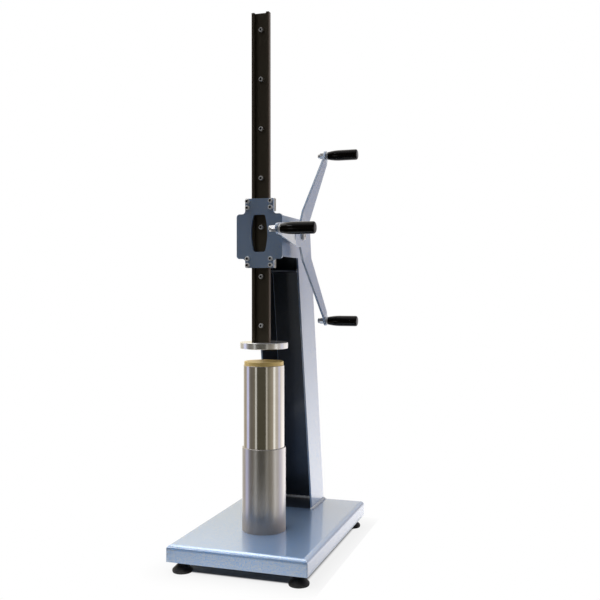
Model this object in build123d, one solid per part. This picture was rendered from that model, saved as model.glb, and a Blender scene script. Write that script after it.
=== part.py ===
from build123d import *
import math
import os

# Hand-operated rack press that pushes soil samples out of a sampling tube.
# Millimetres, +Z up. The origin is on the floor under the pressing disc's axis,
# +X points to the user's right and +Y from the user towards the column.

# Clearances
running_clearance = 0.05
seat_clearance = 0.05
thread_clearance = 0.1
hole_clearance = 0.3
slide_clearance = 0.3
axial_play = 0.3
cut_margin = 10.0

# Base tray, folded from sheet and open underneath
base_width = 306.0
base_depth = 470.0
base_height = 60.0
base_flange = 35.0
base_sheet = 4.0
base_bend_radius = 10.0
base_corner_radius = 1.5
axis_setback = 168.0

# Rubber feet, screwed from below to bosses under the tray
foot_side_inset = 25.5
foot_end_inset = 25.0
foot_radius = 21.5
foot_rim = 5.5
foot_neck_radius = 9.0
foot_neck_length = 8.5
foot_recess_radius = 9.5
foot_recess_depth = 12.0
foot_boss_radius = 12.0
foot_boss_length = 30.0
foot_washer_radius = 8.5
foot_washer_thickness = 1.6
foot_screw_grip = 20.0

# Cap screws: thread, head and hexagon socket
m8_diameter = 8.0
m8_head_diameter = 13.0
m8_head_height = 8.0
m8_socket = 6.0
m6_diameter = 6.0
m6_head_diameter = 10.0
m6_head_height = 6.0
m6_socket = 5.0
m5_diameter = 5.0
m5_head_diameter = 8.5
m5_head_height = 5.0
m5_socket = 4.0
socket_share_of_head = 0.55

# Column, one folded channel that leans forward and ends in a head
column_width = 105.0
column_sheet = 4.0
column_bend_radius = 6.0
column_foot_depth = 104.0
column_neck_depth = 108.8
column_lean = 9.82
shaft_height = 706.0
head_above_shaft = 40.5
head_below_shaft = 48.0
cross_plate_drop = 26.0
cross_plate_setback = 2.0
top_plate_rack_gap = 6.0

# Front plate, with its window and shoulders
plate_sheet = 6.0
plate_height = 150.0
plate_rise = 2.7
plate_wide = 105.0
plate_narrow = 65.0
plate_shoulder_above_shaft = 44.4
plate_shoulder_below_shaft = 52.8
plate_shoulder_radius = 7.0
plate_corner_radius = 3.0
window_height = 80.0
window_rise = 2.3
window_end_width = 26.0
window_waist_width = 37.0
window_corner_radius = 5.0

# Guide shoes beside the rack, two screws in each
shoe_height = 27.0
shoe_depth = 12.0
shoe_chamfer = 1.0
shoe_screw_end = 6.0
shoe_screw_pitch = 14.0

# Rack: a grooved channel with a toothed bar screwed to its back
rack_length = 713.5
rack_width = 40.0
rack_depth = 12.0
rack_lip = 6.5
rack_groove_depth = 8.0
rack_front_ahead = 22.6
rack_chamfer = 0.6
bar_width = 20.0
bar_depth = 25.0
rack_screw_count = 7
rack_screw_end = 36.6
rack_screw_bite = 14.0

# Rack teeth and pinion
gear_module = 3.0
pinion_teeth = 20
pressure_angle = 20.0
tooth_backlash = 0.15
tooth_root_share = 1.25
pinion_width = 26.0

# Pressing disc under the rack
press_gap = 28.3
disc_radius = 53.0
disc_thickness = 13.6
disc_chamfer = 0.8
disc_screw_spacing = 11.0
disc_screw_setback = 8.6
disc_screw_recess = 6.0
disc_screw_bite = 14.0

# Crank shaft and its bearings in the two cheeks of the head
shaft_radius = 10.0
bearing_boss_radius = 15.0
bearing_boss_proud = 6.0
bearing_boss_inside = 6.0
bush_radius = 12.5
bush_flange = 2.0
spacer_radius = 14.0
key_width = 6.0
key_height = 6.0
key_in_shaft = 3.5
key_top_gap = 0.3
pinion_key_length = 22.0
thrust_washer_radius = 15.0
thrust_washer_thickness = 2.0
ring_thickness = 1.5
ring_groove_depth = 0.8
ring_radial_width = 3.0
shaft_end_beyond_ring = 3.5

# Crank star, a dished three-armed plate clamped on the shaft
hub_boss_radius = 15.0
hub_boss_length = 11.2
star_sheet = 5.0
star_dish = 22.2
star_bend_start = 50.0
star_tip_flat = 16.0
star_bend_radius = 8.0
star_root_half_width = 27.5
star_root_fillet = 4.0
arm_radius = 221.4
arm_tip_radius = 11.5
arm_angles = {"front": 270.0, "upper": 150.0, "lower": 30.0}
hub_washer_radius = 11.0
hub_washer_thickness = 1.2
hub_screw_diameter = 10.0
hub_head_radius = 10.0
hub_head_height = 3.6
hub_head_rounding = 2.6
hub_socket = 6.0
hub_socket_depth = 2.2
hub_screw_bite = 24.0
hub_hole_spare = 4.0

# Revolving grips on their spindles
spindle_collar_radius = 9.0
spindle_collar = 3.9
spindle_radius = 5.5
spindle_length = 57.0
stud_radius = 4.0
stud_in_nut = 10.0
acorn_width = 13.0
acorn_hex_height = 6.5
acorn_dome_radius = 6.2
acorn_height = 15.0
acorn_hole_spare = 1.0
nut_washer_radius = 8.0
nut_washer_thickness = 1.6
grip_length = 69.5
grip_inner_radius = 9.0
grip_radius = 12.1
grip_flare_length = 28.0
grip_end_radius = 6.0
grip_bore_spare = 3.0
grip_ring_from_end = 6.0
grip_ring_thickness = 1.2
grip_ring_groove = 0.8
grip_ring_radial_width = 2.0

# Support sleeve, sampling tube and ejector piston
sleeve_radius = 48.0
sleeve_height = 182.7
sleeve_bore_radius = 43.8
tube_seat_depth = 50.0
tube_radius = 45.3
tube_wall = 1.8
tube_length = 228.8
tube_edge_chamfer = 0.4
piston_thickness = 20.0
piston_proud = 8.5
piston_chamfer = 0.8

# Places worked out from the sizes above
BOTTOM = (Align.CENTER, Align.CENTER, Align.MIN)
base_front_y = -axis_setback
base_back_y = base_front_y + base_depth
base_mid_y = base_front_y + base_depth / 2
flange_bottom = base_height - base_flange
foot_height = base_height - base_sheet - foot_boss_length
pitch_radius = gear_module * pinion_teeth / 2
rack_front_y = -rack_front_ahead
groove_floor_y = rack_front_y + rack_groove_depth
bar_front_y = rack_front_y + rack_depth
bar_back_y = bar_front_y + bar_depth
pitch_line_y = bar_back_y - gear_module
shaft_y = pitch_line_y + pitch_radius
plate_back_y = rack_front_y - slide_clearance
plate_front_y = plate_back_y - plate_sheet
plate_mid_z = shaft_height + plate_rise
head_top = shaft_height + head_above_shaft
head_bottom = shaft_height - head_below_shaft
column_half = column_width / 2
seat_z = base_height + sleeve_height - tube_seat_depth
tube_top = seat_z + tube_length
tube_bore_radius = tube_radius - tube_wall
piston_top = tube_top + piston_proud
disc_bottom = piston_top + press_gap
disc_top = disc_bottom + disc_thickness
rack_top = disc_top + rack_length
bearing_outer_x = column_half + bearing_boss_proud
bearing_inner_x = column_half - column_sheet - bearing_boss_inside
bush_outer_x = bearing_outer_x + bush_flange
hub_boss_x = bush_outer_x + axial_play
star_inner_x = hub_boss_x + hub_boss_length
star_outer_x = star_inner_x + star_sheet
tip_inner_x = star_inner_x + star_dish
tip_outer_x = tip_inner_x + star_sheet
grip_inner_x = tip_outer_x + spindle_collar + axial_play

# The shaft's own frame: its local Z runs along the shaft to the right (+X)
shaft_frame = Pos(0, shaft_y, shaft_height) * Rot(0, 90, 0)


def group(pieces):
    """Put several separate solids into one node."""
    return Compound([solid for piece in pieces for solid in piece.solids()])


def save(name, shape):
    export_step(shape, f"parts/{name}.step")


def cylinder(radius, height, z=0.0):
    """A cylinder standing on height z."""
    return Pos(0, 0, z) * Cylinder(radius, height, align=BOTTOM)


def ring(outer, inner, height, z=0.0):
    return cylinder(outer, height, z) - cylinder(inner, height, z)


def hexagon(width, height, z=0.0):
    """A hexagonal prism, given by its width across the flats."""
    return Pos(0, 0, z) * extrude(RegularPolygon(width / 2, 6, major_radius=False), amount=height)


def cap_screw(diameter, head_diameter, head_height, socket, length):
    """A cap screw with its head above the origin and its thread below."""
    socket_depth = head_height * socket_share_of_head
    screw = cylinder(head_diameter / 2, head_height) + cylinder(diameter / 2, length, -length)
    screw = chamfer(screw.faces().sort_by(Axis.Z)[-1].edges(), head_height / 12)
    return screw - hexagon(socket, socket_depth, head_height - socket_depth)


def m8_screw(length):
    return cap_screw(m8_diameter, m8_head_diameter, m8_head_height, m8_socket, length)


def m6_screw(length):
    return cap_screw(m6_diameter, m6_head_diameter, m6_head_height, m6_socket, length)


def m5_screw(length):
    return cap_screw(m5_diameter, m5_head_diameter, m5_head_height, m5_socket, length)


def facing_front(x, y, z):
    """A frame at a point whose local +Z points to the front (-Y)."""
    return Pos(x, y, z) * Rot(90, 0, 0)


def folded_block(width, depth, height, bend):
    """A block whose four top edges are bent and meet in mitres above its upright corners."""
    block = Box(width, depth, height, align=BOTTOM)
    top_edges = block.faces().sort_by(Axis.Z)[-1].edges()
    bent_sides = fillet(top_edges.filter_by(Axis.Y), bend)
    bent_ends = fillet(top_edges.filter_by(Axis.X), bend)
    return bent_sides & bent_ends


def tray():
    outer = folded_block(base_width, base_depth, base_flange, base_bend_radius)
    blank = Box(base_width, base_depth, base_flange, align=BOTTOM)
    outer = outer & fillet(blank.edges().filter_by(Axis.Z), base_corner_radius)
    inside = folded_block(
        base_width - 2 * base_sheet,
        base_depth - 2 * base_sheet,
        base_flange - base_sheet + cut_margin,
        base_bend_radius - base_sheet,
    )
    return Pos(0, base_mid_y, flange_bottom) * (outer - Pos(0, 0, -cut_margin) * inside)


def foot_places():
    half = base_width / 2 - foot_side_inset
    for y in (base_front_y + foot_end_inset, base_back_y - foot_end_inset):
        for x in (-half, half):
            yield Pos(x, y, 0)


def rubber_foot():
    outline = Polyline(
        (0, 0),
        (foot_radius, 0),
        (foot_radius, foot_rim),
        (foot_neck_radius, foot_height - foot_neck_length),
        (foot_neck_radius, foot_height),
        (0, foot_height),
        close=True,
    )
    cone = revolve(Plane.XZ * make_face(outline), Axis.Z)
    recess = cylinder(foot_recess_radius, foot_recess_depth)
    return cone - recess - cylinder(m8_diameter / 2 + hole_clearance, foot_height)


def foot_boss():
    boss = cylinder(foot_boss_radius, foot_boss_length, foot_height)
    hole_depth = foot_screw_grip + cut_margin / 2
    return boss - cylinder(m8_diameter / 2 + thread_clearance, hole_depth, foot_height)


def foot_washer():
    hole = m8_diameter / 2 + hole_clearance
    return ring(foot_washer_radius, hole, foot_washer_thickness, foot_recess_depth - foot_washer_thickness)


def foot_screw():
    head_seat = foot_recess_depth - foot_washer_thickness
    return Pos(0, 0, head_seat) * Rot(180, 0, 0) * m8_screw(foot_height - head_seat + foot_screw_grip)


def column_back_y(z):
    """Back face of the leaning column at a height."""
    foot = base_back_y - base_bend_radius
    return foot - math.tan(math.radians(column_lean)) * (z - base_height)


def column_front_y(z):
    """Front edge of the leaning column at a height."""
    foot = column_back_y(base_height) - column_foot_depth
    neck = column_back_y(head_bottom) - column_neck_depth
    return foot + (neck - foot) * (z - base_height) / (head_bottom - base_height)


def back_edges(solid, bend):
    """The two long leaning edges at the back of a column solid."""
    middle = (column_back_y(head_bottom) + column_front_y(head_bottom)) / 2
    leaning = [e for e in solid.edges() if abs(e.tangent_at(0.5).Z) > 0.5]
    edges = [e for e in leaning if e.center().Y > middle and e.length > head_bottom - base_height]
    return fillet(edges, bend)


def column_hollow():
    """The space inside the folded channel, open to the front, top and bottom."""
    wall = column_sheet / math.cos(math.radians(column_lean))
    low = base_height - cut_margin
    high = head_top + cut_margin
    front = plate_back_y - cut_margin
    outline = Polyline(
        (column_back_y(low) - wall, low),
        (column_back_y(high) - wall, high),
        (front, high),
        (front, low),
        close=True,
    )
    hollow = extrude(Plane.YZ * make_face(outline), column_half - column_sheet, both=True)
    return back_edges(hollow, column_bend_radius - column_sheet)


def column():
    outline = Polyline(
        (column_back_y(base_height), base_height),
        (column_back_y(head_top), head_top),
        (plate_back_y, head_top),
        (plate_back_y, head_bottom),
        (column_front_y(head_bottom), head_bottom),
        (column_front_y(base_height), base_height),
        close=True,
    )
    outer = extrude(Plane.YZ * make_face(outline), column_half, both=True)
    channel = back_edges(outer, column_bend_radius) - column_hollow()
    shaft_hole = cylinder(bearing_boss_radius + seat_clearance, column_width, -column_half)
    return channel - shaft_frame * shaft_hole


def sheet_inside_column(front_y, bottom, back_y):
    """A level sheet that fills the column's hollow from front_y to the web."""
    depth = back_y - front_y
    block = Pos(0, front_y + depth / 2, bottom) * Box(column_width, depth, column_sheet, align=BOTTOM)
    return block & column_hollow()


def cross_plate():
    bottom = head_bottom - cross_plate_drop - column_sheet
    return sheet_inside_column(column_front_y(bottom) + cross_plate_setback, bottom, column_back_y(bottom))


def head_top_plate():
    bottom = head_top - column_sheet
    return sheet_inside_column(bar_back_y + top_plate_rack_gap, bottom, column_back_y(bottom))


def shoe_screw_places():
    """Screw centres on the front plate: two at each of its four narrow ends."""
    x = (rack_width / 2 + slide_clearance + plate_narrow / 2) / 2
    for side in (-1, 1):
        for end in (-1, 1):
            for row in range(2):
                z = plate_mid_z + end * (plate_height / 2 - shoe_screw_end - row * shoe_screw_pitch)
                yield side * x, z


def front_plate():
    top = plate_mid_z + plate_height / 2
    bottom = plate_mid_z - plate_height / 2
    upper = shaft_height + plate_shoulder_above_shaft
    lower = shaft_height - plate_shoulder_below_shaft
    narrow = plate_narrow / 2
    wide = plate_wide / 2
    right = [(narrow, bottom), (narrow, lower), (wide, lower), (wide, upper), (narrow, upper), (narrow, top)]
    left = [(-x, z) for x, z in reversed(right)]
    outline = Sketch() + make_face(Polyline(*right, *left, close=True))
    ends = [v for v in outline.vertices() if abs(v.Y - top) < 1e-6 or abs(v.Y - bottom) < 1e-6]
    outline = fillet(ends, plate_corner_radius)
    shoulders = [v for v in outline.vertices() if abs(v.Y - upper) < 1e-6 or abs(v.Y - lower) < 1e-6]
    outline = fillet(shoulders, plate_shoulder_radius)

    window_z = shaft_height + window_rise
    half = window_height / 2
    end = window_end_width / 2
    waist = window_waist_width / 2
    window_edge = [
        Line((-end, window_z - half), (end, window_z - half)),
        ThreePointArc((end, window_z - half), (waist, window_z), (end, window_z + half)),
        Line((end, window_z + half), (-end, window_z + half)),
        ThreePointArc((-end, window_z + half), (-waist, window_z), (-end, window_z - half)),
    ]
    window = Sketch() + make_face(window_edge)
    window = fillet(window.vertices(), window_corner_radius)
    outline = outline - window
    for x, z in shoe_screw_places():
        outline = outline - Pos(x, z) * Circle(m6_diameter / 2 + hole_clearance)
    return extrude(Plane.XZ.offset(-plate_back_y) * outline, plate_sheet)


def guide_shoe(side, end):
    """A plain bearing block behind the plate, close beside the rack."""
    inner = rack_width / 2 + slide_clearance
    outer = plate_narrow / 2
    z = plate_mid_z + end * (plate_height - shoe_height) / 2
    block = Pos(side * (inner + outer) / 2, plate_back_y + shoe_depth / 2, z) * Box(
        outer - inner, shoe_depth, shoe_height
    )
    block = chamfer(block.faces().sort_by(Axis.Y)[-1].edges(), shoe_chamfer)
    for x, screw_z in shoe_screw_places():
        hole = cylinder(m6_diameter / 2 + thread_clearance, shoe_depth + plate_sheet, -shoe_depth)
        block = block - facing_front(x, plate_back_y, screw_z) * hole
    return block


def shoe_screws():
    length = plate_sheet + shoe_depth
    return group([facing_front(x, plate_front_y, z) * m6_screw(length) for x, z in shoe_screw_places()])


def rack_screw_heights():
    pitch = (rack_length - 2 * rack_screw_end) / (rack_screw_count - 1)
    return [rack_top - rack_screw_end - pitch * i for i in range(rack_screw_count)]


def rack_channel():
    block = Pos(0, rack_front_y + rack_depth / 2, disc_top) * Box(
        rack_width, rack_depth, rack_length, align=BOTTOM
    )
    block = chamfer(block.edges().filter_by(Axis.Z), rack_chamfer)
    groove_width = rack_width - 2 * rack_lip
    groove = Pos(0, rack_front_y + rack_groove_depth / 2, disc_top) * Box(
        groove_width, rack_groove_depth, rack_length, align=BOTTOM
    )
    block = block - groove
    web = rack_depth - rack_groove_depth
    for z in rack_screw_heights():
        hole = cylinder(m6_diameter / 2 + hole_clearance, web, -web)
        block = block - facing_front(0, groove_floor_y, z) * hole
    return block


def disc_screw_places():
    y = bar_front_y + disc_screw_setback
    return [(side * disc_screw_spacing / 2, y) for side in (-1, 1)]


def toothed_bar():
    """The bar's teeth face the pinion, with a gap level with the shaft."""
    pitch = math.pi * gear_module
    slope = math.tan(math.radians(pressure_angle))
    root_depth = tooth_root_share * gear_module
    half_gap = pitch / 4 + tooth_backlash / 2
    mouth = half_gap + slope * gear_module
    floor = half_gap - slope * root_depth
    first = math.ceil((disc_top - shaft_height + mouth) / pitch)
    last = math.floor((rack_top - shaft_height - mouth) / pitch)
    points = [(bar_front_y, disc_top), (bar_back_y, disc_top)]
    for i in range(first, last + 1):
        z = shaft_height + i * pitch
        points.append((bar_back_y, z - mouth))
        points.append((pitch_line_y - root_depth, z - floor))
        points.append((pitch_line_y - root_depth, z + floor))
        points.append((bar_back_y, z + mouth))
    points += [(bar_back_y, rack_top), (bar_front_y, rack_top)]
    bar = extrude(Plane.YZ * make_face(Polyline(*points, close=True)), bar_width / 2, both=True)
    for z in rack_screw_heights():
        hole = cylinder(m6_diameter / 2 + thread_clearance, rack_screw_bite, -rack_screw_bite)
        bar = bar - facing_front(0, bar_front_y, z) * hole
    for x, y in disc_screw_places():
        bar = bar - Pos(x, y, disc_top) * cylinder(m5_diameter / 2 + thread_clearance, disc_screw_bite)
    return bar


def rack_screws():
    length = rack_depth - rack_groove_depth + rack_screw_bite
    return group([facing_front(0, groove_floor_y, z) * m6_screw(length) for z in rack_screw_heights()])


def pressing_disc():
    disc = cylinder(disc_radius, disc_thickness, disc_bottom)
    disc = chamfer(disc.edges(), disc_chamfer)
    for x, y in disc_screw_places():
        disc = disc - Pos(x, y, disc_bottom) * cylinder(m5_diameter / 2 + hole_clearance, disc_thickness)
        recess = cylinder(m5_head_diameter / 2 + hole_clearance, disc_screw_recess)
        disc = disc - Pos(x, y, disc_bottom) * recess
    return disc


def disc_screws():
    length = disc_thickness - disc_screw_recess + disc_screw_bite
    seat = disc_bottom + disc_screw_recess
    return group([Pos(x, y, seat) * Rot(180, 0, 0) * m5_screw(length) for x, y in disc_screw_places()])


def bearing_boss(side):
    """A welded boss through one cheek, made on the right and turned over for the left."""
    length = bearing_outer_x - bearing_inner_x
    boss = ring(bearing_boss_radius, bush_radius + seat_clearance, length, bearing_inner_x)
    return shaft_frame * Rot(0, 90 - 90 * side, 0) * boss


def bearing_bush(side):
    bore = shaft_radius + running_clearance
    length = bearing_outer_x - bearing_inner_x
    bush = ring(bush_radius, bore, length, bearing_inner_x)
    bush = bush + ring(bearing_boss_radius, bore, bush_flange, bearing_outer_x)
    return shaft_frame * Rot(0, 90 - 90 * side, 0) * bush


def key(length, x):
    """A key standing on the shaft's upper side, from x to the right."""
    middle = shaft_radius - key_in_shaft + key_height / 2
    return Pos(-middle, 0, x) * Box(key_height, key_width, length, align=BOTTOM)


def key_slot(length, x):
    """The slot for a key in a hub, with room over the key."""
    tall = key_height + key_top_gap
    middle = shaft_radius - key_in_shaft + tall / 2
    return Pos(-middle, 0, x) * Box(tall, key_width, length, align=BOTTOM)


thrust_washer_x = -bush_outer_x - axial_play - thrust_washer_thickness
ring_x = thrust_washer_x - ring_thickness
shaft_left_x = ring_x - shaft_end_beyond_ring
hub_screw_x = star_outer_x + hub_washer_thickness
hub_hole_depth = hub_screw_bite + hub_hole_spare


def crank_shaft():
    shaft = cylinder(shaft_radius, star_inner_x - shaft_left_x, shaft_left_x)
    thread_radius = hub_screw_diameter / 2 + thread_clearance
    thread = cylinder(thread_radius, hub_hole_depth, star_inner_x - hub_hole_depth)
    groove = ring(shaft_radius + cut_margin, shaft_radius - ring_groove_depth, ring_thickness, ring_x)
    shaft = shaft - thread - groove
    shaft = shaft - key(pinion_key_length, -pinion_key_length / 2) - key(hub_boss_length, hub_boss_x)
    return shaft_frame * shaft


def involute_flank(turn, mirror):
    """Points of one tooth flank, from the root circle out to the tip circle."""
    angle = math.radians(pressure_angle)
    base = pitch_radius * math.cos(angle)
    root = pitch_radius - tooth_root_share * gear_module
    tip = pitch_radius + gear_module
    half = math.pi / (2 * pinion_teeth) - tooth_backlash / (2 * pitch_radius) + math.tan(angle) - angle
    points = [(root, half)]
    steps = 6
    for i in range(steps + 1):
        radius = base + (tip - base) * i / steps
        roll = math.sqrt(max((radius / base) ** 2 - 1, 0.0))
        points.append((radius, half - (roll - math.atan(roll))))
    return [(r * math.cos(turn + mirror * a), r * math.sin(turn + mirror * a)) for r, a in points]


def pinion():
    edges = []
    first_tooth = math.radians(arm_angles["front"])
    previous_end = None
    for i in range(pinion_teeth):
        turn = first_tooth + 2 * math.pi * i / pinion_teeth
        rising = involute_flank(turn, -1)
        falling = list(reversed(involute_flank(turn, 1)))
        if previous_end is None:
            profile_start = rising[0]
        else:
            edges.append(Line(previous_end, rising[0]))
        edges.append(Line(rising[0], rising[1]))
        edges.append(Spline(*rising[1:]))
        edges.append(Line(rising[-1], falling[0]))
        edges.append(Spline(*falling[:-1]))
        edges.append(Line(falling[-2], falling[-1]))
        previous_end = falling[-1]
    edges.append(Line(previous_end, profile_start))
    gear = Pos(0, 0, -pinion_width / 2) * extrude(make_face(edges), pinion_width)
    gear = gear - cylinder(shaft_radius + seat_clearance, pinion_width, -pinion_width / 2)
    return shaft_frame * (gear - key_slot(pinion_width, -pinion_width / 2))


def pinion_spacers():
    """Two sleeves that keep the pinion in the middle, between the bearings."""
    inner = pinion_width / 2
    length = bearing_inner_x - axial_play - inner
    bore = shaft_radius + seat_clearance
    right = ring(spacer_radius, bore, length, inner)
    left = ring(spacer_radius, bore, length, -inner - length)
    return group([shaft_frame * right, shaft_frame * left])


def thrust_washer():
    bore = shaft_radius + seat_clearance
    return shaft_frame * ring(thrust_washer_radius, bore, thrust_washer_thickness, thrust_washer_x)


def retaining_ring():
    bore = shaft_radius - ring_groove_depth + seat_clearance
    return shaft_frame * ring(bore + ring_radial_width, bore, ring_thickness, ring_x)


def hub_boss():
    boss = ring(hub_boss_radius, shaft_radius + seat_clearance, hub_boss_length, hub_boss_x)
    return shaft_frame * (boss - key_slot(hub_boss_length, hub_boss_x))


def star_arm():
    """One arm along local +X, cut from sheet that bends outwards after the hub."""
    bend_end = arm_radius - star_tip_flat
    rise = math.atan2(star_dish, bend_end - star_bend_start)
    shift = star_sheet * math.tan(rise / 2)
    start = -star_root_half_width
    stop = arm_radius + arm_tip_radius + cut_margin
    inner = [
        (start, star_inner_x),
        (star_bend_start, star_inner_x),
        (bend_end, tip_inner_x),
        (stop, tip_inner_x),
    ]
    outer = [
        (start, star_outer_x),
        (star_bend_start - shift, star_outer_x),
        (bend_end - shift, tip_outer_x),
        (stop, tip_outer_x),
    ]
    wide_bend = star_bend_radius + star_sheet
    side_edges = [
        FilletPolyline(*inner, radius=[wide_bend, star_bend_radius]),
        Line(inner[-1], outer[-1]),
        FilletPolyline(*reversed(outer), radius=[wide_bend, star_bend_radius]),
        Line(outer[0], inner[0]),
    ]
    sheet = extrude(Plane.XZ * make_face(side_edges), 2 * star_root_half_width, both=True)

    taper = math.atan2(star_root_half_width - arm_tip_radius, arm_radius)
    tip_x = arm_radius + arm_tip_radius * math.sin(taper)
    tip_y = arm_tip_radius * math.cos(taper)
    plan_edges = [
        Line((0, -star_root_half_width), (tip_x, -tip_y)),
        ThreePointArc((tip_x, -tip_y), (arm_radius + arm_tip_radius, 0), (tip_x, tip_y)),
        Line((tip_x, tip_y), (0, star_root_half_width)),
        Line((0, star_root_half_width), (0, -star_root_half_width)),
    ]
    plan = Pos(0, 0, star_inner_x - cut_margin) * extrude(
        make_face(plan_edges), star_dish + star_sheet + 2 * cut_margin
    )
    return sheet & plan


def crank_star():
    star = Part()
    for angle in arm_angles.values():
        star = star + Rot(0, 0, angle) * star_arm()
    corners = [e for e in star.edges().filter_by(Axis.Z) if e.center().Z < star_outer_x]
    near_hub = [e for e in corners if math.hypot(e.center().X, e.center().Y) < 2 * star_root_half_width]
    star = fillet(near_hub, star_root_fillet)
    star = star - cylinder(hub_screw_diameter / 2 + hole_clearance, star_sheet, star_inner_x)
    for angle in arm_angles.values():
        hole = cylinder(stud_radius + hole_clearance, star_sheet, tip_inner_x)
        star = star - Rot(0, 0, angle) * Pos(arm_radius, 0, 0) * hole
    return shaft_frame * star


def hub_washer():
    bore = hub_screw_diameter / 2 + hole_clearance
    return shaft_frame * ring(hub_washer_radius, bore, hub_washer_thickness, star_outer_x)


def hub_screw():
    """The round-headed screw that clamps the star against the end of the shaft."""
    head = cylinder(hub_head_radius, hub_head_height, hub_screw_x)
    head = fillet(head.faces().sort_by(Axis.Z)[-1].edges(), hub_head_rounding)
    socket = hexagon(hub_socket, hub_socket_depth, hub_screw_x + hub_head_height - hub_socket_depth)
    thread_length = hub_washer_thickness + star_sheet + hub_screw_bite
    thread = cylinder(hub_screw_diameter / 2, thread_length, hub_screw_x - thread_length)
    return shaft_frame * (head - socket + thread)


def at_tip(angle):
    """A frame at an arm's tip whose local Z runs along the grip, outwards."""
    return shaft_frame * Rot(0, 0, angle) * Pos(arm_radius, 0, 0)


ring_groove_x = tip_outer_x + spindle_collar + spindle_length - grip_ring_from_end


def grip_spindle():
    spindle = cylinder(spindle_collar_radius, spindle_collar, tip_outer_x)
    spindle = spindle + cylinder(spindle_radius, spindle_length, tip_outer_x + spindle_collar)
    stud_length = star_sheet + nut_washer_thickness + stud_in_nut
    spindle = spindle + cylinder(stud_radius, stud_length, tip_outer_x - stud_length)
    bottom = spindle_radius - grip_ring_groove
    return spindle - ring(spindle_radius + cut_margin, bottom, grip_ring_thickness, ring_groove_x)


def grip_ring():
    bore = spindle_radius - grip_ring_groove + seat_clearance
    return ring(bore + grip_ring_radial_width, bore, grip_ring_thickness, ring_groove_x)


def acorn_nut():
    dome_centre = acorn_height - acorn_dome_radius
    nut = hexagon(acorn_width, acorn_hex_height) + cylinder(acorn_dome_radius, dome_centre)
    nut = nut + Pos(0, 0, dome_centre) * Sphere(acorn_dome_radius)
    nut = nut - cylinder(stud_radius + thread_clearance, stud_in_nut + acorn_hole_spare)
    return Pos(0, 0, tip_inner_x - nut_washer_thickness) * Rot(180, 0, 0) * nut


def nut_washer():
    bore = stud_radius + hole_clearance
    return ring(nut_washer_radius, bore, nut_washer_thickness, tip_inner_x - nut_washer_thickness)


def grip():
    outline = [
        Line((0, 0), (grip_inner_radius, 0)),
        Spline(
            (grip_inner_radius, 0),
            (grip_radius, grip_flare_length),
            tangents=[((grip_radius - grip_inner_radius) * 2, grip_flare_length), (0, 1)],
        ),
        Line((grip_radius, grip_flare_length), (grip_radius, grip_length - grip_end_radius)),
        RadiusArc(
            (grip_radius, grip_length - grip_end_radius),
            (grip_radius - grip_end_radius, grip_length),
            -grip_end_radius,
        ),
        Line((grip_radius - grip_end_radius, grip_length), (0, grip_length)),
        Line((0, grip_length), (0, 0)),
    ]
    body = revolve(Plane.XZ * make_face(outline), Axis.Z)
    bore_depth = spindle_length + grip_bore_spare
    body = Pos(0, 0, grip_inner_x) * (body - cylinder(spindle_radius + running_clearance, bore_depth))
    groove_radius = spindle_radius - grip_ring_groove + grip_ring_radial_width + slide_clearance
    return body - cylinder(groove_radius, grip_ring_thickness + 2 * axial_play, ring_groove_x - axial_play)


def support_sleeve():
    sleeve = ring(sleeve_radius, sleeve_bore_radius, sleeve_height, base_height)
    sleeve = chamfer(sleeve.edges(), tube_edge_chamfer)
    return sleeve - cylinder(tube_radius + slide_clearance, tube_seat_depth, seat_z)


def sample_tube():
    tube = ring(tube_radius, tube_bore_radius, tube_length, seat_z)
    return chamfer(tube.edges(), tube_edge_chamfer)


def ejector_piston():
    piston = cylinder(tube_bore_radius - slide_clearance, piston_thickness, piston_top - piston_thickness)
    return chamfer(piston.edges(), piston_chamfer)


os.makedirs("parts", exist_ok=True)
save("base_tray", tray())
save("foot_bosses", group([place * foot_boss() for place in foot_places()]))
save("rubber_feet", group([place * rubber_foot() for place in foot_places()]))
save("foot_washers", group([place * foot_washer() for place in foot_places()]))
save("foot_screws", group([place * foot_screw() for place in foot_places()]))
save("column", column())
save("column_cross_plate", cross_plate())
save("head_top_plate", head_top_plate())
save("front_plate", front_plate())
for side_name, side in (("left", -1), ("right", 1)):
    save(f"guide_shoe_upper_{side_name}", guide_shoe(side, 1))
    save(f"guide_shoe_lower_{side_name}", guide_shoe(side, -1))
    save(f"bearing_boss_{side_name}", bearing_boss(side))
    save(f"bearing_bush_{side_name}", bearing_bush(side))
save("shoe_screws", shoe_screws())
save("rack_channel", rack_channel())
save("toothed_bar", toothed_bar())
save("rack_screws", rack_screws())
save("pressing_disc", pressing_disc())
save("disc_screws", disc_screws())
save("crank_shaft", crank_shaft())
save("pinion", pinion())
save("pinion_key", shaft_frame * key(pinion_key_length, -pinion_key_length / 2))
save("pinion_spacers", pinion_spacers())
save("thrust_washer", thrust_washer())
save("retaining_ring", retaining_ring())
save("hub_boss", hub_boss())
save("hub_key", shaft_frame * key(hub_boss_length, hub_boss_x))
save("crank_star", crank_star())
save("hub_washer", hub_washer())
save("hub_screw", hub_screw())
save("grip_spindles", group([at_tip(angle) * grip_spindle() for angle in arm_angles.values()]))
save("grip_rings", group([at_tip(angle) * grip_ring() for angle in arm_angles.values()]))
save("nut_washers", group([at_tip(angle) * nut_washer() for angle in arm_angles.values()]))
save("acorn_nuts", group([at_tip(angle) * acorn_nut() for angle in arm_angles.values()]))
for arm_name, angle in arm_angles.items():
    save(f"grip_{arm_name}", at_tip(angle) * grip())
save("support_sleeve", support_sleeve())
save("sample_tube", sample_tube())
save("ejector_piston", ejector_piston())
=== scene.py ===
import math

import bmesh
import bpy
from mathutils import Matrix, Vector


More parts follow.
